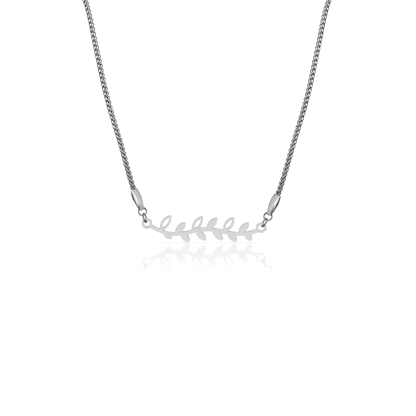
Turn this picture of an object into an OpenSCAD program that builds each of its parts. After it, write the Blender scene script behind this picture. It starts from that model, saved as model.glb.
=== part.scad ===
// Nameplate necklace with a cut-out leafy branch in the place of the name.
// Millimetres. X runs to the right as the front is looked at, Y away from the viewer
// and Z up. The origin is where the clasp's barrel touches the nape of the neck.

/* [Nameplate] */
// Distance between the centres of the two eyelets
plate_span = 36.6; // [28:0.2:48]
// Height of the whole cut-out
plate_h = 8.7; // [7.5:0.1:13]
// Thickness of the sheet
plate_t = 1.0; // [0.7:0.05:1.2]
// Width of the branch that joins the eyelets
stem_w = 1.25; // [0.9:0.05:1.8]
// Width across a large leaf
leaf_w = 2.9; // [2.4:0.1:3.6]
// Metal left round the opening of a pierced leaf
leaf_rim = 0.75; // [0.5:0.05:0.9]
// Outer diameter of an eyelet
eyelet_d = 3.4; // [3:0.1:4.2]
// Bore of an eyelet
eyelet_bore = 1.9; // [1.8:0.05:2.4]
// Height of the left eyelet above the lowest edge
eyelet_left_z = 6.0; // [4.5:0.1:8]
// Height of the right eyelet above the lowest edge
eyelet_right_z = 4.65; // [3.5:0.05:7]

/* [Rings] */
// Thickness of the ring wire
ring_wire = 0.5; // [0.35:0.05:0.55]
// Outer diameter of a ring in an eyelet
plate_ring_d = 3.5; // [3.4:0.1:4.5]
// Outer diameter of a ring in an end cap
cap_ring_d = 3.05; // [2.9:0.05:4]
// Turn of an eyelet's ring about its line of pull, in degrees
plate_ring_turn = 12; // [0:1:20]
// Gap left between pieces that hang in each other
play = 0.1; // [0.08:0.01:0.14]
// Width of the butt joint in a ring
ring_joint = 0.06; // [0.03:0.01:0.15]

/* [End caps] */
// Length of an end cap
cap_len = 7.3; // [6:0.1:10]
// Diameter of an end cap at its widest
cap_d = 3.0; // [2.8:0.05:3.4]
// Diameter of an end cap at the mouth that holds the chain
cap_mouth_d = 2.4; // [2.1:0.05:2.6]
// Diameter that an end cap would have at its tip without the round end and the flats
cap_tip_d = 2.75; // [2.4:0.05:2.75]
// Height of the widest place above the tip
cap_belly_z = 4.3; // [3.2:0.1:5]
// Thickness of the tip between its two flats
tip_t = 1.2; // [0.8:0.05:1.2]
// Radius of the round end of the tip
tip_round = 1.38; // [1.2:0.02:1.38]
// Height above the tip where the flats begin
flat_len = 4.6; // [4:0.1:5.5]
// Bore across the tip for the ring
tip_bore = 1.1; // [1.05:0.01:1.15]
// Height of the bore above the tip
tip_bore_z = 0.74; // [0.7:0.02:0.9]
// Turn of the flats towards the outside, in degrees
flat_turn = 16; // [0:1:18]

/* [Chain] */
// Thickness of the chain
chain_d = 1.6; // [1.2:0.05:1.7]
// Clearance round the chain's end in a socket
socket_gap = 0.1; // [0.05:0.01:0.12]
// Depth of the socket in an end cap
cap_socket = 2.4; // [1.8:0.1:3]

/* [Clasp] */
// Length of the clasp's barrel
clasp_len = 10; // [8:0.5:16]
// Diameter of the barrel at its middle
clasp_d = 3.2; // [3:0.1:4.5]
// Diameter of the barrel at its ends
clasp_end_d = 2.4; // [2.3:0.05:2.9]
// Depth of the socket at each end of the barrel
clasp_socket = 3; // [2:0.1:3.6]

/* [Hang on the neck] */
// Depth from the nape to the middle of the nameplate's sheet
reach = 110; // [104:1:118]
// Drop from the nape to the lowest edge of the nameplate
drop = 106.5; // [100:0.5:112]
// Sideways place of the nameplate's middle
plate_shift = -0.9; // [-3:0.1:3]
// Lean of the left ring pair from upright, in degrees
rings_lean_left = 20; // [12:1:30]
// Lean of the right ring pair from upright, in degrees
rings_lean_right = 30; // [20:1:36]
// Lean of the left end cap from upright, in degrees
cap_lean_left = 21; // [16:0.5:28]
// Lean of the right end cap from upright, in degrees
cap_lean_right = 23.5; // [18:0.5:30]

/* [Hidden] */
LEFT = -1;
RIGHT = 1;

// The chain's way from an end cap to the clasp: sideways from the middle, back from the
// nameplate's plane and down from the nape. The left half mirrors the right one.
CHAIN_ROUTE = [
    [27.5, 1, 75],
    [32, 4, 60],
    [35.5, 9, 45],
    [39, 15.5, 31],
    [44.5, 26, 21],
    [48.5, 40, 14],
    [49.5, 55.5, 9.5],
    [47.5, 71.5, 6.5],
    [41, 86, 4],
    [30.5, 98, 2],
    [17.5, 107, 0.5]
];
chain_sides = 8;
rings_a_span = 3;
// Sideways, back and up: a direction that the chain is never along.
chain_steer = [1, 1, -0.8];

// The branch between the eyelets: shares of the span, and of the height.
STEM = [
    [0.09, 0.47],
    [0.20, 0.31],
    [0.33, 0.33],
    [0.46, 0.46],
    [0.59, 0.46],
    [0.72, 0.34],
    [0.85, 0.31],
    [0.95, 0.41]
];
steps_a_span = 8;

// Leaves: place along the branch as a share of its points, slant in degrees, length as
// a share of the height, width as a share of a large leaf's, and 1 where it is pierced.
LEAVES = [
    [0.135, 56, 0.70, 0.92, 1],
    [0.170, -38, 0.40, 0.68, 0],
    [0.265, 50, 0.58, 0.78, 0],
    [0.300, -42, 0.44, 0.74, 0],
    [0.385, 56, 0.68, 0.92, 1],
    [0.420, -44, 0.52, 0.76, 0],
    [0.500, 50, 0.58, 0.78, 0],
    [0.535, -46, 0.55, 0.76, 0],
    [0.620, 56, 0.66, 0.92, 1],
    [0.655, -42, 0.48, 0.74, 0],
    [0.740, 50, 0.56, 0.76, 0],
    [0.775, -38, 0.38, 0.68, 0]
];
// How soft a leaf's points are: 1 is round, 2 is sharp.
leaf_point = 1.45;
leaf_sides = 48;

// Arc that a profile follows from its belly to a mouth of another diameter.
function arc_r(belly_d, mouth_d, run) =
    let (fall = (belly_d - mouth_d) / 2) (run * run + fall * fall) / (2 * fall);

// Unit vector that leans sideways by an angle from upright.
function lean(side, angle) = [side * sin(angle), 0, cos(angle)];

function rings_lean(side) = side == LEFT ? rings_lean_left : rings_lean_right;
function cap_lean(side) = side == LEFT ? cap_lean_left : cap_lean_right;
function eyelet_z(side) = side == LEFT ? eyelet_left_z : eyelet_right_z;

// Height that a circle of radius r gains at a run to one side of its lowest point.
function rise(r, run) = r - sqrt(r * r - run * run);

// Where the butt joint of an eyelet's ring lies, in degrees round from its back.
joint_spot = 60;
plate_ring_r = (plate_ring_d - ring_wire) / 2;
cap_ring_r = (cap_ring_d - ring_wire) / 2;
flat_angle = atan((cap_d - tip_t) / 2 / flat_len);
// Half the thickness of the tip at its bore.
tip_half = tip_t / 2 + tip_bore_z * tan(flat_angle);
// How far a ring's curve rises over half the sheet, and over half the tip.
sheet_rise = rise(plate_ring_r, plate_t / 2);
tip_rise = rise(cap_ring_r, tip_half);
// Wire of the lower ring above the middle of the eyelet it hangs on.
ring_seat = eyelet_bore / 2 - ring_wire / 2 - play - sheet_rise;

function eyelet_at(side) =
    [plate_shift + side * plate_span / 2, -reach, -drop + eyelet_z(side)];
function plate_ring_at(side) =
    eyelet_at(side) + lean(side, rings_lean(side)) * (ring_seat + plate_ring_r);
// Place where the upper ring's wire lies inside the lower ring.
function link_at(side) =
    plate_ring_at(side) + lean(side, rings_lean(side)) * (plate_ring_r - ring_wire - play);
function cap_ring_at(side) =
    link_at(side) + lean(side, rings_lean(side)) * cap_ring_r;
function tip_at(side) =
    cap_ring_at(side) + lean(side, cap_lean(side)) * (cap_ring_r - tip_rise / 2 - tip_bore_z);
function mouth_at(side) =
    tip_at(side) + lean(side, cap_lean(side)) * cap_len;

clasp_y = clasp_d / 2;
socket_d = chain_d + 2 * socket_gap;

// Point of a smooth curve through b and c, with a and d as their neighbours.
function smooth(a, b, c, d, t) =
    ((2 * b) + (c - a) * t + (2 * a - 5 * b + 4 * c - d) * t * t
     + (3 * b - a - 3 * c + d) * t * t * t) / 2;

// Smooth curve through points 1 to n - 2 of a list, whose first and last points steer it.
function smooth_path(p, steps) =
    concat([for (i = [1 : len(p) - 3], k = [0 : steps - 1])
                smooth(p[i - 1], p[i], p[i + 1], p[i + 2], k / steps)],
           [p[len(p) - 2]]);

eyelet_left = [0, eyelet_left_z];
eyelet_right = [plate_span, eyelet_right_z];
// Shares of the span and of the height that steer the branch into its eyelets.
stem_lead = [0.05, 0.2];
stem_points = concat([eyelet_left + [-stem_lead[0] * plate_span, stem_lead[1] * plate_h],
                      eyelet_left],
                     [for (s = STEM) [s[0] * plate_span, s[1] * plate_h]],
                     [eyelet_right,
                      eyelet_right + [stem_lead[0] * plate_span, stem_lead[1] * plate_h]]);
stem_line = smooth_path(stem_points, steps_a_span);

module nameplate() {
    color([0.86, 0.86, 0.87])
        translate([plate_shift - plate_span / 2, -reach + plate_t / 2, -drop])
            rotate([90, 0, 0])
                difference() {
                    union() {
                        linear_extrude(plate_t) branch();
                        for (spot = [eyelet_left, eyelet_right])
                            translate(spot) cylinder(d = eyelet_d, h = plate_t, $fn = 96);
                    }
                    for (spot = [eyelet_left, eyelet_right])
                        translate([spot[0], spot[1], -plate_t])
                            cylinder(d = eyelet_bore, h = 3 * plate_t, $fn = 96);
                    translate([0, 0, -plate_t]) linear_extrude(3 * plate_t) leaf_openings();
                }
}

module branch() {
    polygon(ribbon(stem_line, stem_w));
    for (leaf = LEAVES)
        leaf_in_place(leaf) leaf_shape(leaf[2] * plate_h, leaf[3] * leaf_w);
}

module leaf_openings() {
    for (leaf = LEAVES)
        if (leaf[4] == 1)
            leaf_in_place(leaf) leaf_opening(leaf[2] * plate_h, leaf[3] * leaf_w);
}

// Outline of a strip of even width along a line of points.
function ribbon(line, width) =
    let (n = len(line),
         along = [for (i = [0 : n - 1])
                      let (d = line[min(i + 1, n - 1)] - line[max(i - 1, 0)]) d / norm(d)],
         across = [for (d = along) [-d[1], d[0]] * width / 2])
    concat([for (i = [0 : n - 1]) line[i] + across[i]],
           [for (i = [n - 1 : -1 : 0]) line[i] - across[i]]);

module leaf_in_place(leaf) {
    spot = stem_line[round(leaf[0] * (len(stem_line) - 1))];
    translate(spot) rotate(leaf[1]) children();
}

// Leaf from the origin along +X, widest at its middle and softly pointed at both ends.
module leaf_shape(length, width) {
    polygon([for (k = [0 : leaf_sides - 1])
                 let (a = 360 * k / leaf_sides)
                 [length / 2 * (1 - cos(a)),
                  width / 2 * sign(sin(a)) * pow(abs(sin(a)), leaf_point)]]);
}

module leaf_opening(length, width) {
    start = stem_w / 2 + leaf_rim;
    translate([start, 0])
        leaf_shape(length - start - 1.5 * leaf_rim, width - 2 * leaf_rim);
}

// Wire ring about the Z axis, with its butt joint at +X.
module wire_ring(mean_r) {
    gap_angle = ring_joint / mean_r * 180 / PI;
    rotate([0, 0, gap_angle / 2])
        rotate_extrude(angle = 360 - gap_angle, $fn = 96)
            translate([mean_r, 0]) circle(d = ring_wire, $fn = 32);
}

module plate_ring(side) {
    color([0.62, 0.62, 0.64])
        translate(plate_ring_at(side))
            rotate([0, side * rings_lean(side), 0])
                rotate([0, 0, side * plate_ring_turn])
                    rotate([0, 90, 0])
                        rotate([0, 0, joint_spot])
                            wire_ring(plate_ring_r);
}

module cap_ring(side) {
    color([0.66, 0.66, 0.68])
        translate(cap_ring_at(side))
            rotate([0, side * cap_lean(side), 0])
                rotate([90, 0, 0])
                    rotate([0, 0, side == LEFT ? 0 : 180])
                        wire_ring(cap_ring_r);
}

// Half the barrel profile of an end cap, with its tip at the origin.
module cap_profile() {
    cap_part(cap_mouth_d, cap_len - cap_belly_z, cap_belly_z);
    intersection() {
        cap_part(cap_tip_d, cap_belly_z, 0);
        union() {
            translate([0, tip_round]) circle(r = tip_round, $fn = 96);
            translate([0, tip_round]) square([cap_d, cap_len]);
        }
    }
}

// The profile on one side of the belly, from a height and over a run, to an end's diameter.
module cap_part(end_d, run, from) {
    r = arc_r(cap_d, end_d, run);
    intersection() {
        translate([cap_d / 2 - r, cap_belly_z]) circle(r = r, $fn = 360);
        translate([0, from]) square([cap_d, run]);
    }
}

module end_cap(side) {
    color([0.78, 0.78, 0.79])
        translate(tip_at(side))
            rotate([0, side * cap_lean(side), 0])
                rotate([0, 0, -side * flat_turn])
                    difference() {
                        rotate_extrude($fn = 96) cap_profile();
                        for (s = [-1, 1])
                            translate([s * tip_t / 2, 0, 0])
                                rotate([0, s * flat_angle, 0])
                                    translate([(s - 1) / 2 * cap_d, -cap_d, -cap_len / 2])
                                        cube([cap_d, 2 * cap_d, 2 * cap_len]);
                        translate([0, 0, tip_bore_z])
                            rotate([0, 90, 0])
                                cylinder(d = tip_bore, h = 2 * cap_d, center = true, $fn = 48);
                        translate([0, 0, cap_len])
                            cylinder(d = socket_d, h = 2 * cap_socket, center = true, $fn = 64);
                    }
}

// Points that the chain's middle line runs through, from an end cap to the clasp.
function chain_points(side) =
    let (start = mouth_at(side),
         end = [side * clasp_len / 2, clasp_y, 0],
         way = [for (p = CHAIN_ROUTE) [side * p[0], p[1] - reach, -p[2]]],
         first = start - lean(side, cap_lean(side)) * norm(way[0] - start),
         last = end - [side, 0, 0] * norm(way[len(way) - 1] - end))
    concat([first, start], way, [end, last]);

// The same line with its straight ends, which stop short of the sockets' floors.
function chain_line(side) =
    let (bare = smooth_path(chain_points(side), rings_a_span))
    concat([bare[0] - lean(side, cap_lean(side)) * (cap_socket - socket_gap)],
           bare,
           [bare[len(bare) - 1] - [side, 0, 0] * (clasp_socket - socket_gap)]);

// Closed tube along a line, with flat ends square to it and its sides counted from steer.
module tube(line, d, steer) {
    n = len(line);
    along = [for (i = [0 : n - 1]) line[min(i + 1, n - 1)] - line[max(i - 1, 0)]];
    rings = [for (i = [0 : n - 1])
                 let (t = along[i] / norm(along[i]),
                      u = cross(t, steer) / norm(cross(t, steer)),
                      v = cross(t, u))
                 for (k = [0 : chain_sides - 1])
                     let (a = 360 * k / chain_sides)
                     line[i] + (u * cos(a) + v * sin(a)) * d / 2];
    walls = [for (i = [0 : n - 2], k = [0 : chain_sides - 1])
                 let (a = i * chain_sides + k,
                      b = i * chain_sides + (k + 1) % chain_sides)
                 [a, b, b + chain_sides, a + chain_sides]];
    near_end = [for (k = [chain_sides - 1 : -1 : 0]) k];
    far_end = [for (k = [0 : chain_sides - 1]) (n - 1) * chain_sides + k];
    polyhedron(points = rings, faces = concat(walls, [near_end, far_end]));
}

module chain(side) {
    color([0.55, 0.55, 0.57])
        tube(chain_line(side), chain_d, [side * chain_steer[0], chain_steer[1], chain_steer[2]]);
}

module clasp() {
    r = arc_r(clasp_d, clasp_end_d, clasp_len / 2);
    color([0.78, 0.78, 0.79])
        translate([0, clasp_y, 0])
            rotate([0, 90, 0])
                difference() {
                    rotate_extrude($fn = 96)
                        intersection() {
                            translate([clasp_d / 2 - r, 0]) circle(r = r, $fn = 360);
                            translate([0, -clasp_len / 2]) square([clasp_d, clasp_len]);
                        }
                    for (s = [-1, 1])
                        translate([0, 0, s * clasp_len / 2])
                            cylinder(d = socket_d, h = 2 * clasp_socket, center = true, $fn = 64);
                }
}

nameplate();
plate_ring(LEFT);  // ring_plate_left
plate_ring(RIGHT);  // ring_plate_right
cap_ring(LEFT);  // ring_cap_left
cap_ring(RIGHT);  // ring_cap_right
end_cap(LEFT);  // cap_left
end_cap(RIGHT);  // cap_right
chain(LEFT);  // chain_left
chain(RIGHT);  // chain_right
clasp();
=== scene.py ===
"""Nameplate necklace in silver: a cut-out leafy branch on a loop-in-loop chain.

Metres. X runs to the right as the front is looked at, Y away from the viewer and Z up.
The origin is where the clasp's barrel touches the nape of the neck.
"""

import math

import bmesh
import bpy
from bpy.props import (
    FloatProperty,
    FloatVectorProperty,
    IntProperty,
    PointerProperty,
)
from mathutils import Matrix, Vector


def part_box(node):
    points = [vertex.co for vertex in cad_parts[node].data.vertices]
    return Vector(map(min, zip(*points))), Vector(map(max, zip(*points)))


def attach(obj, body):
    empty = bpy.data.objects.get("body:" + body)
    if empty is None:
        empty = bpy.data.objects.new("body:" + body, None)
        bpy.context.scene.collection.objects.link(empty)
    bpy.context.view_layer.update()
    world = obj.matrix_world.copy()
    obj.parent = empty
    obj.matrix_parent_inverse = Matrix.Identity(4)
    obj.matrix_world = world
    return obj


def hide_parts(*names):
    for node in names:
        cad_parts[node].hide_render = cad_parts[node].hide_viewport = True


bl_info = {
    "name": "Nameplate Necklace",
    "version": (1, 0, 0),
    "blender": (4, 5, 0),
    "location": "3D View > Sidebar > Necklace",
    "description": "Dresses a nameplate necklace in silver, with its chain's links",
    "category": "Object",
}

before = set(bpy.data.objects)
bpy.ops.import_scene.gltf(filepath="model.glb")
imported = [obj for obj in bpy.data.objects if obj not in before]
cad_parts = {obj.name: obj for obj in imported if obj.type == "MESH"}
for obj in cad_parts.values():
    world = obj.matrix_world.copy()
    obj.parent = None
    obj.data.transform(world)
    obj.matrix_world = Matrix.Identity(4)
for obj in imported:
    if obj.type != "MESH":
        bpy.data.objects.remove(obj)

MM = 0.001
LEFT, RIGHT = -1, 1
SIDE_NAMES = {LEFT: "left", RIGHT: "right"}

# The hang of the chain, as the frame has it.
REACH = 110 * MM
CAP_LEAN = {LEFT: math.radians(21), RIGHT: math.radians(23.5)}
REACH_INTO_CAP = 2.3 * MM
REACH_INTO_CLASP = 2.9 * MM
CLASP_LENGTH = 10 * MM
CLASP_BACK = 1.6 * MM
TUBE_SIDES = 8
# The end caps' tips lie on a slant, lower at the right: this and a drop give the height
# of a place over them.
TIP_SLANT = (0.0415, 0, 1)
TIP_DROP = 97.0 * MM
# Depth of the hairlines and grain in the silver.
RELIEF_DEPTH = 0.01 * MM
# Points of a mesh that lie closer together than this are one point.
WELD = 0.0005 * MM
# Fixed seed of the links' chance turns.
SWAY_SEED = 3
# Brightness of the floor before the nameplate, a little over 1 so that it is pure white,
# and what the glossy part behind it adds to what it mirrors.
FLOOR_WHITE = 1.02
FLOOR_GLOW = 0.23

# The chain's way from an end cap to the clasp: sideways from the middle, back from the
# nameplate's plane and down from the nape. The left half mirrors the right one.
CHAIN_ROUTE = [
    (0.0275, 0.001, 0.075),
    (0.032, 0.004, 0.060),
    (0.0355, 0.009, 0.045),
    (0.039, 0.0155, 0.031),
    (0.0445, 0.026, 0.021),
    (0.0485, 0.040, 0.014),
    (0.0495, 0.0555, 0.0095),
    (0.0475, 0.0715, 0.0065),
    (0.041, 0.086, 0.004),
    (0.0305, 0.098, 0.002),
    (0.0175, 0.107, 0.0005),
]
# Points of the chain's line from one point of its route to the next.
STEPS_A_SPAN = 12

# A quarter of a folded link's middle line, from its fold to the top of its loop: across
# the loop's plane, along it and up, as shares of the link's width, width and pitch.
LINK_QUARTER = [
    (0.0, 0.124, -0.064),
    (0.381, 0.128, 0.321),
    (0.356, 0.372, 0.833),
    (0.125, 0.375, 1.314),
    (0.124, 0.0, 1.756),
]


class ChainSizes(bpy.types.PropertyGroup):
    """Sizes of the chain's folded links"""

    pitch: FloatProperty(
        name="Pitch", description="Distance from one link's fold to the next",
        default=1.56 * MM, unit="LENGTH", precision=5)
    width: FloatProperty(
        name="Width", description="Width of the chain over its wires",
        default=1.6 * MM, unit="LENGTH", precision=5)
    wire: FloatProperty(
        name="Wire", description="Thickness of a link's wire",
        default=0.38 * MM, unit="LENGTH", precision=5)
    sides: IntProperty(
        name="Wire sides", description="Sides of a link's wire", default=5, min=5, max=8)
    first_turn: FloatProperty(
        name="First turn", description="Turn of the link in an end cap about the chain's line",
        default=math.radians(27), subtype="ANGLE")
    turn_a_link: FloatProperty(
        name="Turn a link", description="How far each link turns on from the one before",
        default=math.radians(0.65), subtype="ANGLE")
    sway: FloatProperty(
        name="Sway", description="Largest chance turn of a link",
        default=math.radians(0.8), subtype="ANGLE")


class PlateSizes(bpy.types.PropertyGroup):
    """Sizes of the nameplate's finish"""

    rounding: FloatProperty(
        name="Edge rounding", description="Radius of the tumbled edges of the sheet",
        default=0.11 * MM, unit="LENGTH", precision=5)
    rounding_steps: IntProperty(
        name="Rounding steps", description="Facets across a rounded edge", default=2, min=1)
    sharp_bend: FloatProperty(
        name="Sharp bend", description="Corners that turn more than this stay sharp",
        default=math.radians(28), subtype="ANGLE")


class SilverLooks(bpy.types.PropertyGroup):
    """Colours and roughness of the silver, with the colours of its painted highlight and painted
    shade.
    """

    plate_colour: FloatVectorProperty(
        name="Nameplate colour", description="Colour of the satin sheet",
        default=(0.82, 0.82, 0.825), size=3, subtype="COLOR", min=0, max=1)
    # Painted shade on the sheet's sawn walls, a darker copy of its silver.
    wall_shade_colour: FloatVectorProperty(
        name="Cut colour", description="Colour of the sheet's sawn walls",
        default=(0.35, 0.35, 0.355), size=3, subtype="COLOR", min=0, max=1)
    plate_roughness: FloatProperty(
        name="Nameplate roughness", description="Roughness of the satin sheet",
        default=0.3, min=0, max=1)
    fitting_colour: FloatVectorProperty(
        name="Fitting colour", description="Colour of the end caps and clasp",
        default=(0.84, 0.84, 0.85), size=3, subtype="COLOR", min=0, max=1)
    # Painted shade on the end caps at their tips.
    tip_shade_colour: FloatVectorProperty(
        name="Tip colour", description="Colour of the end caps at their tips, where they dull",
        default=(0.47, 0.47, 0.475), size=3, subtype="COLOR", min=0, max=1)
    # Painted shade: the rings are a darker copy of the silver.
    ring_shade_colour: FloatVectorProperty(
        name="Ring colour", description="Colour of the rings, which have darkened a little",
        default=(0.36, 0.36, 0.366), size=3, subtype="COLOR", min=0, max=1)
    fitting_roughness: FloatProperty(
        name="Fitting roughness", description="Roughness of the polished fittings",
        default=0.1, min=0, max=1)
    # Colour of the chain's wire where it faces out, which carries its painted highlight.
    chain_colour: FloatVectorProperty(
        name="Chain colour", description="Colour of the chain where it is rubbed bright",
        default=(0.92, 0.92, 0.93), size=3, subtype="COLOR", min=0, max=1)
    # Painted shade of the chain's sides and covered parts, and of the rings in the eyelets and
    # in the caps' bores.
    painted_shade_colour: FloatVectorProperty(
        name="Tarnish colour", description="Colour of the chain in its recesses",
        default=(0.02, 0.02, 0.0205), size=3, subtype="COLOR", min=0, max=1)
    chain_roughness: FloatProperty(
        name="Chain roughness", description="Roughness of the chain's wire",
        default=0.16, min=0, max=1)


class StageSizes(bpy.types.PropertyGroup):
    """Floor, light and camera"""

    floor_gap: FloatProperty(
        name="Floor gap", description="Height of the hanging nameplate over the floor",
        default=0.3 * MM, unit="LENGTH", precision=5)
    floor_size: FloatProperty(
        name="Floor size", description="Length of the floor's sides",
        default=40.0, unit="LENGTH")
    elevation: FloatProperty(
        name="Camera elevation", description="Angle of the camera over the horizon",
        default=math.radians(9), subtype="ANGLE")
    distance: FloatProperty(
        name="Camera distance", description="Distance from the camera to what it looks at",
        default=0.6, unit="LENGTH")
    lens: FloatProperty(
        name="Lens", description="Focal length in millimetres", default=162.3)
    look_at: FloatVectorProperty(
        name="Look at", description="Point in the middle of the view",
        default=(0.32 * MM, -110 * MM, -95.42 * MM), size=3, subtype="TRANSLATION")


class Value:
    """A socket of a node tree.

    Arithmetic on it adds Math nodes, or Vector Math nodes for places."""

    def __init__(self, tree, socket=None):
        self.tree = tree
        self.socket = socket

    def node(self, kind, settings=None, inputs=None, output=0):
        """Adds a node: first its settings, then what its sockets hold or are linked to."""
        made = self.tree.nodes.new(kind)
        for name, setting in (settings or {}).items():
            setattr(made, name, setting)
        for key, given in (inputs or {}).items():
            if isinstance(given, Value):
                self.tree.links.new(given.socket, made.inputs[key])
            else:
                made.inputs[key].default_value = given
        return Value(self.tree, made.outputs[output] if made.outputs else None)

    def other(self, output):
        """Another output of the node that this value comes from."""
        return Value(self.tree, self.socket.node.outputs[output])

    def maths(self, operation, first, second):
        """One step of arithmetic on values, numbers or places."""
        places = any(is_place(given) for given in (first, second))
        kind = "ShaderNodeVectorMath" if places else "ShaderNodeMath"
        return self.node(kind, {"operation": operation}, {0: first, 1: second})

    def __add__(self, other):
        return self.maths("ADD", self, other)

    def __radd__(self, other):
        return self.maths("ADD", other, self)

    def __sub__(self, other):
        return self.maths("SUBTRACT", self, other)

    def __rsub__(self, other):
        return self.maths("SUBTRACT", other, self)

    def __mul__(self, other):
        return self.maths("MULTIPLY", self, other)

    def __rmul__(self, other):
        return self.maths("MULTIPLY", other, self)

    def __truediv__(self, other):
        return self.maths("DIVIDE", self, other)

    def __rtruediv__(self, other):
        return self.maths("DIVIDE", other, self)

    def __abs__(self):
        return self.node("ShaderNodeMath", {"operation": "ABSOLUTE"}, {0: self})

    def dot(self, other):
        return self.node(
            "ShaderNodeVectorMath", {"operation": "DOT_PRODUCT"}, {0: self, 1: other}, "Value")

    def axis(self, name):
        """This place's X, Y or Z."""
        return self.node("ShaderNodeSeparateXYZ", {}, {0: self}, name)

    def above(self, low, high):
        """Rises smoothly from 0 at low to 1 at high, or falls where low is the larger."""
        return self.node(
            "ShaderNodeMapRange", {"interpolation_type": "SMOOTHSTEP"},
            {"Value": self, "From Min": low, "From Max": high})

    def mix(self, first, second):
        """Goes from one colour to another as this mask goes from 0 to 1."""
        return self.node(
            "ShaderNodeMix", {"data_type": "RGBA"},
            {"Factor": self, 6: rgba(first), 7: rgba(second)}, output=2)

    def bands(self, tone, rows, unit=1):
        """Tones along this value. Each row has the ends of a change and the tone after it."""
        for start, end, after in rows:
            tone = self.above(start * unit, end * unit).mix(tone, after)
        return tone

    def noise(self, grain, detail=2.0, stretch=(1, 1, 1)):
        """Noise from 0 to 1 with grains of a size, longer on an axis with a small stretch."""
        place = self.node("ShaderNodeMapping", {}, {"Vector": self, "Scale": stretch})
        return self.node(
            "ShaderNodeTexNoise", {}, {"Vector": place, "Scale": 1 / grain, "Detail": detail})


def is_place(given):
    return isinstance(given, tuple) or isinstance(given, Value) and given.socket.type == "VECTOR"


def rgba(colour):
    """A colour for a socket, from a value, three shares or one grey."""
    if isinstance(colour, Value):
        return colour
    if isinstance(colour, (int, float)):
        return (colour, colour, colour, 1.0)
    return (*colour, 1.0)


def new_material(name):
    """An empty material, and the value that its nodes start from."""
    material = bpy.data.materials.new(name)
    material.use_nodes = True
    material.node_tree.nodes.clear()
    return material, Value(material.node_tree)


def stored(start, name):
    """A number that the piece's mesh keeps under a name."""
    return start.node(
        "ShaderNodeAttribute", {"attribute_type": "GEOMETRY", "attribute_name": name},
        output="Fac")


def finish_metal(start, colour, roughness, relief, bump):
    """Ends a metal's tree: its shader, its fine relief and its output."""
    normal = start.node(
        "ShaderNodeBump", {}, {"Strength": bump, "Distance": RELIEF_DEPTH, "Height": relief})
    shader = start.node(
        "ShaderNodeBsdfPrincipled", {},
        {"Base Color": rgba(colour), "Metallic": 1.0, "Roughness": roughness,
         "Normal": normal})
    start.node("ShaderNodeOutputMaterial", {}, {"Surface": shader})


def satin_silver(looks):
    """Sheet silver brushed with a fine grain along its length, with painted shade on its sawn
    walls.
    """
    material, start = new_material("satin_silver")
    place = start.node("ShaderNodeTexCoord", output="Object")
    grain = place.noise(0.11 * MM, detail=3.0, stretch=(0.08, 1, 1))
    cloud = place.noise(5.5 * MM)
    face = cloud.above(0.3, 0.7).mix([0.97 * c for c in looks.plate_colour], looks.plate_colour)
    # Painted shade on the sawn walls, where 'cut' is 1.
    colour = stored(start, "cut").above(0.4, 0.8).mix(face, looks.wall_shade_colour)
    roughness = looks.plate_roughness - 0.03 + grain * 0.06 + cloud * 0.03
    finish_metal(start, colour, roughness, grain, bump=0.12)
    return material


def polished_silver(name, low, rows, looks):
    """Polished silver with hairlines and cloudy spots from handling.

    Its colour changes from low as rows say, with the height in mm over the caps' tips; these
    bands put painted shade on the caps' tips and on the rings."""
    material, start = new_material(name)
    place = start.node("ShaderNodeTexCoord", output="Object")
    hairlines = place.noise(0.19 * MM, stretch=(1, 1, 0.06))
    cloud = place.noise(1.4 * MM)
    # Painted shade by height over the caps' tips.
    full = (place.dot(TIP_SLANT) + TIP_DROP).bands(low, rows, unit=MM)
    colour = (cloud.above(0.35, 0.75) * 0.07).mix(full, 0.0)
    roughness = (
        looks.fitting_roughness + cloud.above(0.45, 0.75) * 0.05
        + hairlines.above(0.58, 0.7) * 0.05)
    finish_metal(start, colour, roughness, hairlines, bump=0.06)
    return material


def chain_silver(looks):
    """Wire with a painted highlight where it faces out, painted shade on its sides and where the
    next links cover it, and brighter lower down the chain.
    """
    material, start = new_material("chain_silver")
    place = start.node("ShaderNodeTexCoord", output="Object")
    cloud = place.noise(1.1 * MM)
    # The wire is brighter lower down the chain.
    lower_down = place.axis("Z").above(-60 * MM, -80 * MM)
    # Painted highlight and painted shade, with random clouds.
    sheen_and_shade = stored(start, "outward") + cloud * 0.1 + lower_down * 0.2 - 0.05
    bright = sheen_and_shade.above(0.15, 0.85)
    colour = bright.mix(looks.painted_shade_colour, looks.chain_colour)
    roughness = looks.chain_roughness + 0.2 - bright * 0.2 + cloud * 0.04
    finish_metal(start, colour, roughness, place.noise(0.17 * MM), bump=0.08)
    return material


def curve_object(name, lines, cyclic):
    """A curve object of straight-sided splines, one for each line of points."""
    curve = bpy.data.curves.new(name, "CURVE")
    curve.dimensions = "3D"
    for line in lines:
        spline = curve.splines.new("POLY")
        spline.points.add(len(line) - 1)
        for point, place in zip(spline.points, line):
            point.co = (*place, 1.0)
        spline.use_cyclic_u = cyclic
    made = bpy.data.objects.new(name, curve)
    bpy.context.scene.collection.objects.link(made)
    return made


def plain_mesh(made, name):
    """Turns an object and its modifiers into a plain mesh object, and removes the first."""
    graph = bpy.context.evaluated_depsgraph_get()
    mesh = bpy.data.meshes.new_from_object(made.evaluated_get(graph), depsgraph=graph)
    if not mesh.polygons:
        raise RuntimeError(f"{name} came out with no faces")
    mesh.name = name
    bpy.data.objects.remove(made)
    piece = bpy.data.objects.new(name, mesh)
    bpy.context.scene.collection.objects.link(piece)
    return piece


def smooth(a, b, c, d, t):
    """Point of a smooth curve from b to c, with a and d as their neighbours."""
    return 0.5 * (
        2 * b + (c - a) * t + (2 * a - 5 * b + 4 * c - d) * t ** 2
        + (3 * b - a - 3 * c + d) * t ** 3)


def smooth_path(points, steps):
    """Smooth curve through a list's inner points, which its first and last points steer."""
    line = [
        smooth(*points[i - 1:i + 3], k / steps)
        for i in range(1, len(points) - 2) for k in range(steps)]
    return line + [points[-2]]


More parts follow.
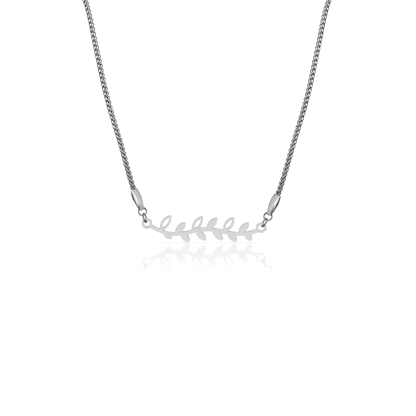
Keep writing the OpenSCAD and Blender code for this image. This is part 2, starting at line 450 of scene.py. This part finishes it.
def cut_line(line, length):
    """The start of a line of points, cut at a length."""
    kept = [line[0]]
    for point in line[1:]:
        step = (point - kept[-1]).length
        if step >= length:
            return kept + [kept[-1].lerp(point, length / step)]
        kept.append(point)
        length -= step
    raise RuntimeError("the chain's line is shorter than its links")


def line_length(line):
    return sum((b - a).length for a, b in zip(line, line[1:]))


def chain_line(side):
    """The middle line of half a chain, from inside its end cap to inside the clasp."""
    upright = Vector((side * math.sin(CAP_LEAN[side]), 0, math.cos(CAP_LEAN[side])))
    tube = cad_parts[f"chain_{SIDE_NAMES[side]}"].data
    # The tube is loose triangles, so each of its corners is there several times.
    corners = {tuple(round(c, 7) for c in v.co) for v in tube.vertices}
    lowest = sorted(corners, key=lambda c: Vector(c).dot(upright))[:TUBE_SIDES]
    bottom = sum((Vector(c) for c in lowest), Vector()) / TUBE_SIDES
    mouth = bottom + upright * REACH_INTO_CAP
    way = [Vector((side * x, y - REACH, -z)) for x, y, z in CHAIN_ROUTE]
    end = Vector((side * CLASP_LENGTH / 2, CLASP_BACK, 0))
    inward = Vector((-side, 0, 0))
    # The outermost points make the curve leave the cap and meet the clasp straight.
    points = [
        mouth - upright * (way[0] - mouth).length, mouth, *way,
        end, end + inward * (way[-1] - end).length]
    return [bottom, *smooth_path(points, STEPS_A_SPAN), end + inward * REACH_INTO_CLASP]


def link_line(sizes):
    """The closed middle line of one folded link, with its fold at the origin."""
    quarter = [
        Vector((x * sizes.width, y * sizes.width, z * sizes.pitch))
        for x, y, z in LINK_QUARTER]
    back = quarter[::-1]
    line = []
    for across, along, points in (
            (1, 1, quarter), (1, -1, back), (-1, -1, quarter), (-1, 1, back)):
        for point in points:
            place = Vector((across * point.x, along * point.y, point.z))
            # The point where two quarters meet is kept once.
            if place not in line:
                line.append(place)
    return line


def link_wire(start, given):
    """A link's round wire along its middle line, which keeps how far out it faces, less a
    painted shade where the next links cover it.
    """
    place = start.node("GeometryNodeInputPosition")
    height = given.other("Height")
    middle = start.node("ShaderNodeCombineXYZ", {}, {"Z": height * 0.5})
    line = start.node("GeometryNodeObjectInfo", {}, {"Object": given.other("Link")}, "Geometry")
    # The wire's facets are turned away from the link's middle, so they meet at every bend.
    line = start.node(
        "GeometryNodeSetCurveNormal", {"mode": "FREE"},
        {"Curve": line, "Normal": (place - middle) * (1, 1, 0.4)})
    ring = start.node(
        "GeometryNodeCurvePrimitiveCircle", {},
        {"Resolution": given.other("Sides"), "Radius": given.other("Wire") * 0.5})
    wire = start.node("GeometryNodeCurveToMesh", {}, {"Curve": line, "Profile Curve": ring})
    wire = start.node("GeometryNodeSetShadeSmooth", {}, {"Geometry": wire})
    normal = start.node("GeometryNodeInputNormal")
    # How far the wire faces out from the link's middle: the chain's material paints a highlight
    # where it faces out and shade on the wire's sides.
    outward = (place * (1, 1, 0)).dot(normal) / (given.other("Width") * 0.5)
    # Painted shade where the next links cover a link, from a little under its half height
    # upwards.
    covered_shade = place.axis("Z").above(height * 0.38, height * 0.6)
    return start.node(
        "GeometryNodeStoreNamedAttribute", {"data_type": "FLOAT", "domain": "POINT"},
        {"Geometry": wire, "Name": "outward", "Value": outward - covered_shade * 0.5})


def links_tree():
    """Geometry nodes that thread copies of a folded link along a line."""
    tree = bpy.data.node_groups.new("links_along_a_line", "GeometryNodeTree")
    for name, kind in (
            ("Line", "Object"), ("Link", "Object"), ("Links", "Int"), ("Wire", "Float"),
            ("Sides", "Int"), ("Width", "Float"), ("Height", "Float"),
            ("First Turn", "Float"), ("Turn a Link", "Float"), ("Sway", "Float"),
            ("Seed", "Int"), ("Material", "Material")):
        tree.interface.new_socket(name, in_out="INPUT", socket_type=f"NodeSocket{kind}")
    tree.interface.new_socket("Chain", in_out="OUTPUT", socket_type="NodeSocketGeometry")
    start = Value(tree)
    given = start.node("NodeGroupInput")
    line = start.node("GeometryNodeObjectInfo", {}, {"Object": given.other("Line")}, "Geometry")
    stations = start.node(
        "GeometryNodeCurveToPoints", {"mode": "COUNT"},
        {"Curve": line, "Count": given.other("Links")}, "Points")
    index = start.node("GeometryNodeInputIndex")
    sway = given.other("Sway")
    chance = start.node(
        "FunctionNodeRandomValue", {"data_type": "FLOAT"},
        {2: sway * -1.0, 3: sway, "ID": index, "Seed": given.other("Seed")}, 1)
    turn = given.other("First Turn") + index * given.other("Turn a Link") + chance
    spin = start.node("ShaderNodeCombineXYZ", {}, {"Z": turn})
    spin = start.node("FunctionNodeEulerToRotation", {}, {"Euler": spin})
    stand = start.node(
        "FunctionNodeRotateRotation", {"rotation_space": "LOCAL"},
        {"Rotation": stations.other("Rotation"), "Rotate By": spin})
    links = start.node(
        "GeometryNodeInstanceOnPoints", {},
        {"Points": stations, "Instance": link_wire(start, given), "Rotation": stand})
    links = start.node("GeometryNodeRealizeInstances", {}, {"Geometry": links})
    links = start.node(
        "GeometryNodeSetMaterial", {},
        {"Geometry": links, "Material": given.other("Material")})
    start.node("NodeGroupOutput", {}, {"Chain": links})
    return tree


def set_inputs(modifier, values):
    """Gives a Geometry Nodes modifier its inputs, each by its socket's identifier."""
    for item in modifier.node_group.interface.items_tree:
        if item.item_type == "SOCKET" and item.in_out == "INPUT":
            modifier[item.identifier] = values[item.name]


class NECKLACE_OT_chain(bpy.types.Operator):
    """Make both halves of the chain from folded links that pass through each other"""

    bl_idname = "necklace.chain"
    bl_label = "Make Chain"

    def execute(self, context):
        sizes = context.scene.necklace_chain
        looks = context.scene.necklace_silver
        material = chain_silver(looks)
        tree = links_tree()
        # The last link's loop stands over the line's end by its own height.
        height = LINK_QUARTER[-1][2] * sizes.pitch
        link_rise = height + sizes.wire
        for side in (LEFT, RIGHT):
            name = f"chain_{SIDE_NAMES[side]}"
            line = chain_line(side)
            links = int((line_length(line) - link_rise) / sizes.pitch) + 1
            path = curve_object("chain_path", [cut_line(line, (links - 1) * sizes.pitch)], False)
            link = curve_object("folded_link", [link_line(sizes)], True)
            host = bpy.data.objects.new("chain_host", bpy.data.meshes.new("chain_host"))
            context.scene.collection.objects.link(host)
            threading = host.modifiers.new("Links", "NODES")
            threading.node_group = tree
            set_inputs(threading, {
                "Line": path, "Link": link, "Links": links, "Wire": sizes.wire,
                "Sides": sizes.sides, "Width": sizes.width, "Height": height,
                "First Turn": -side * sizes.first_turn,
                "Turn a Link": -side * sizes.turn_a_link,
                "Sway": sizes.sway, "Seed": SWAY_SEED, "Material": material})
            piece = plain_mesh(host, f"{name}_links")
            bpy.data.objects.remove(path)
            bpy.data.objects.remove(link)
            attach(piece, "strand")
            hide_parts(name)
        return {"FINISHED"}


def sheet_outlines(node):
    """The closed outlines of a flat sheet's front, as lists of points in its plane."""
    mesh = bmesh.new()
    mesh.from_mesh(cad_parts[node].data)
    bmesh.ops.remove_doubles(mesh, verts=mesh.verts, dist=WELD)
    mesh.normal_update()
    front = {f for f in mesh.faces if f.normal.y < -0.9}
    rim = [e for e in mesh.edges if sum(f in front for f in e.link_faces) == 1]
    ways = {}
    for edge in rim:
        for vert in edge.verts:
            ways.setdefault(vert, []).append(edge)
    outlines = []
    left = dict.fromkeys(rim)
    while left:
        edge = left.popitem()[0]
        first, vert = edge.verts
        outline = [first.co.copy()]
        while vert != first:
            outline.append(vert.co.copy())
            edge = next(e for e in ways[vert] if e in left)
            del left[edge]
            vert = edge.other_vert(vert)
        outlines.append(outline)
    mesh.free()
    return outlines


def rounder(outline, sharp_bend):
    """Adds a point in the middle of each span of a closed outline, on a smooth curve.

    Spans that end in a sharp corner stay straight."""
    count = len(outline)

    def bend(i):
        back = outline[i] - outline[i - 1]
        ahead = outline[(i + 1) % count] - outline[i]
        return back.angle(ahead, 0)

    bends = [bend(i) for i in range(count)]
    made = []
    for i in range(count):
        a, b, c, d = (outline[(i + k) % count] for k in (-1, 0, 1, 2))
        made.append(b)
        if bends[i] < sharp_bend and bends[(i + 1) % count] < sharp_bend:
            made.append(smooth(a, b, c, d, 0.5))
        else:
            made.append((b + c) / 2)
    return made


def weld_and_face_out(mesh):
    """Merges a closed mesh's doubled points and turns its faces outwards."""
    work = bmesh.new()
    work.from_mesh(mesh)
    bmesh.ops.remove_doubles(work, verts=work.verts, dist=WELD)
    bmesh.ops.recalc_face_normals(work, faces=work.faces)
    work.to_mesh(mesh)
    work.free()


class NECKLACE_OT_nameplate(bpy.types.Operator):
    """Make the nameplate with its tumbled edges and satin faces"""

    bl_idname = "necklace.nameplate"
    bl_label = "Make Nameplate"

    def execute(self, context):
        sizes = context.scene.necklace_plate
        low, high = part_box("nameplate")
        outlines = [rounder(o, sizes.sharp_bend) for o in sheet_outlines("nameplate")]
        flat = [[Vector((p.x, p.z, 0)) for p in outline] for outline in outlines]
        made = curve_object("nameplate_outline", flat, True)
        made.data.dimensions = "2D"
        made.data.fill_mode = "BOTH"
        made.data.extrude = (high.y - low.y) / 2 - sizes.rounding
        made.data.bevel_depth = sizes.rounding
        made.data.bevel_resolution = sizes.rounding_steps
        made.data.offset = -sizes.rounding
        piece = plain_mesh(made, "nameplate_sheet")
        middle = (high.y + low.y) / 2
        # The curve lies flat, so its mesh is stood up in the nameplate's plane.
        for vert in piece.data.vertices:
            x, z, back = vert.co
            vert.co = (x, middle - back, z)
        weld_and_face_out(piece.data)
        # The walls and rounded edges are shaded smooth, and "cut" is 1 on the walls, where the
        # material paints shade.
        cut = piece.data.attributes.new("cut", "FLOAT", "FACE").data
        for face in piece.data.polygons:
            face.use_smooth = abs(face.normal.y) < 0.999
            cut[face.index].value = 1 - abs(face.normal.y)
        piece.data.materials.clear()
        piece.data.materials.append(satin_silver(context.scene.necklace_silver))
        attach(piece, "plate")
        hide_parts("nameplate")
        return {"FINISHED"}


class NECKLACE_OT_fittings(bpy.types.Operator):
    """Give the rings, end caps and clasp their polish"""

    bl_idname = "necklace.fittings"
    bl_label = "Polish Fittings"

    def execute(self, context):
        looks = context.scene.necklace_silver
        # The end caps get a painted shade at their tips.
        bright = polished_silver(
            "polished_silver", looks.tip_shade_colour, [(0.7, 2.6, looks.fitting_colour)], looks)
        # Painted shade: the rings are a darker copy of the silver, darkest in the eyelets and in
        # the bores of the end caps.
        dark = polished_silver(
            "ring_silver", looks.painted_shade_colour,
            [(-3.3, -2.5, looks.ring_shade_colour), (-0.3, 0.3, looks.painted_shade_colour)], looks)
        materials = {"clasp": bright}
        for side in SIDE_NAMES.values():
            materials[f"cap_{side}"] = bright
            materials[f"ring_plate_{side}"] = materials[f"ring_cap_{side}"] = dark
        for name, material in materials.items():
            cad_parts[name].material_slots[0].material = material
        return {"FINISHED"}


def floor_cards(place):
    """The cards on the floor that the silver mirrors, in rows that run backwards.

    A pale row lies under the nameplate and two rows with dark cards at each side of it."""
    aside, back = abs(place.axis("X")), place.axis("Y")
    below_plate = back.bands(0.65, [(-200, -180, 0.9), (-100, -85, 0.6)], unit=MM)
    below_rings = back.bands(1.15, [(-165, -150, 0.28), (-108, -95, 0.1)], unit=MM)
    below_caps = back.bands(0.65, [(-235, -220, 1.15), (-132, -116, 0.03)], unit=MM)
    return aside.bands(
        below_plate, [(23.5, 26, below_rings), (36, 39, below_caps), (70, 80, 0.9)], unit=MM)


def floor_material():
    """A white floor, slightly glossy from just before the nameplate backwards."""
    material, start = new_material("floor")
    place = start.node("ShaderNodeTexCoord", output="Object")
    seen = start.node("ShaderNodeLightPath", output="Is Camera Ray")
    back = place.axis("Y")
    cards = start.node("ShaderNodeEmission", {}, {"Color": floor_cards(place)})
    white = start.node("ShaderNodeEmission", {}, {"Color": rgba(1.0), "Strength": FLOOR_WHITE})
    glossy = start.node(
        "ShaderNodeBsdfPrincipled", {},
        {"Base Color": rgba(0.9), "Roughness": 0.05, "IOR": 1.45,
         "Emission Color": back.bands(1.0, [(-100, 0, 1.35)], unit=MM),
         "Emission Strength": FLOOR_GLOW})
    near = start.node(
        "ShaderNodeMixShader", {},
        {0: back.above(-175 * MM, -125 * MM), 1: white, 2: glossy})
    shader = start.node("ShaderNodeMixShader", {}, {0: seen, 1: cards, 2: near})
    start.node("ShaderNodeOutputMaterial", {}, {"Surface": shader})
    return material


def studio_world():
    """Soft white light, brightest behind the necklace and in a panel overhead."""
    world = bpy.data.worlds.new("studio")
    world.use_nodes = True
    world.node_tree.nodes.clear()
    start = Value(world.node_tree)
    way = start.node("ShaderNodeTexCoord", output="Generated")
    horizon = way.axis("Y").bands(0.64, [(0.1, 0.45, 0.4), (0.9, 0.95, 1.0)])
    light = way.axis("Z").bands(horizon, [(0.42, 0.55, 0.3), (0.8, 0.9, 2.0)])
    glow = start.node("ShaderNodeBackground", {}, {"Color": light})
    start.node("ShaderNodeOutputWorld", {}, {"Surface": glow})
    return world


class NECKLACE_OT_stage(bpy.types.Operator):
    """Make the floor, the light and the camera"""

    bl_idname = "necklace.stage"
    bl_label = "Make Stage"

    def execute(self, context):
        scene = context.scene
        sizes = scene.necklace_stage
        low, _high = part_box("nameplate")
        mesh = bpy.data.meshes.new("floor")
        half = sizes.floor_size / 2
        level = low.z - sizes.floor_gap
        corners = [(-half, -half, level), (half, -half, level), (half, half, level),
                   (-half, half, level)]
        mesh.from_pydata(corners, [], [(0, 1, 2, 3)])
        mesh.materials.append(floor_material())
        floor = bpy.data.objects.new("floor", mesh)
        scene.collection.objects.link(floor)
        scene.world = studio_world()
        scene.view_settings.view_transform = "Standard"
        camera = bpy.data.objects.new("camera", bpy.data.cameras.new("camera"))
        scene.collection.objects.link(camera)
        camera.data.lens = sizes.lens
        camera.data.clip_start = 0.01
        back = Vector((0, -math.cos(sizes.elevation), math.sin(sizes.elevation)))
        camera.location = Vector(sizes.look_at) + back * sizes.distance
        camera.rotation_mode = "QUATERNION"
        camera.rotation_quaternion = (-back).to_track_quat("-Z", "Y")
        scene.camera = camera
        return {"FINISHED"}


class NECKLACE_PT_sidebar(bpy.types.Panel):
    """Sizes, looks and steps of the necklace"""

    bl_label = "Necklace"
    bl_idname = "NECKLACE_PT_sidebar"
    bl_space_type = "VIEW_3D"
    bl_region_type = "UI"
    bl_category = "Necklace"

    def draw(self, context):
        for group, operator in STEPS:
            box = self.layout.box()
            sizes = getattr(context.scene, group)
            for name in sizes.bl_rna.properties.keys():
                if name not in ("rna_type", "name"):
                    box.prop(sizes, name)
            box.operator(operator)


STEPS = (
    ("necklace_chain", "necklace.chain"),
    ("necklace_plate", "necklace.nameplate"),
    ("necklace_silver", "necklace.fittings"),
    ("necklace_stage", "necklace.stage"),
)
GROUPS = {
    "necklace_chain": ChainSizes,
    "necklace_plate": PlateSizes,
    "necklace_silver": SilverLooks,
    "necklace_stage": StageSizes,
}
CLASSES = (
    *GROUPS.values(),
    NECKLACE_OT_chain,
    NECKLACE_OT_nameplate,
    NECKLACE_OT_fittings,
    NECKLACE_OT_stage,
    NECKLACE_PT_sidebar,
)


def register():
    for kind in CLASSES:
        bpy.utils.register_class(kind)
    for name, group in GROUPS.items():
        setattr(bpy.types.Scene, name, PointerProperty(type=group))


def unregister():
    for name in GROUPS:
        delattr(bpy.types.Scene, name)
    for kind in reversed(CLASSES):
        bpy.utils.unregister_class(kind)


def main():
    register()
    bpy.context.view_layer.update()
    bpy.ops.necklace.stage()
    bpy.ops.necklace.chain()
    bpy.ops.necklace.nameplate()
    bpy.ops.necklace.fittings()


if __name__ == "__main__":
    main()
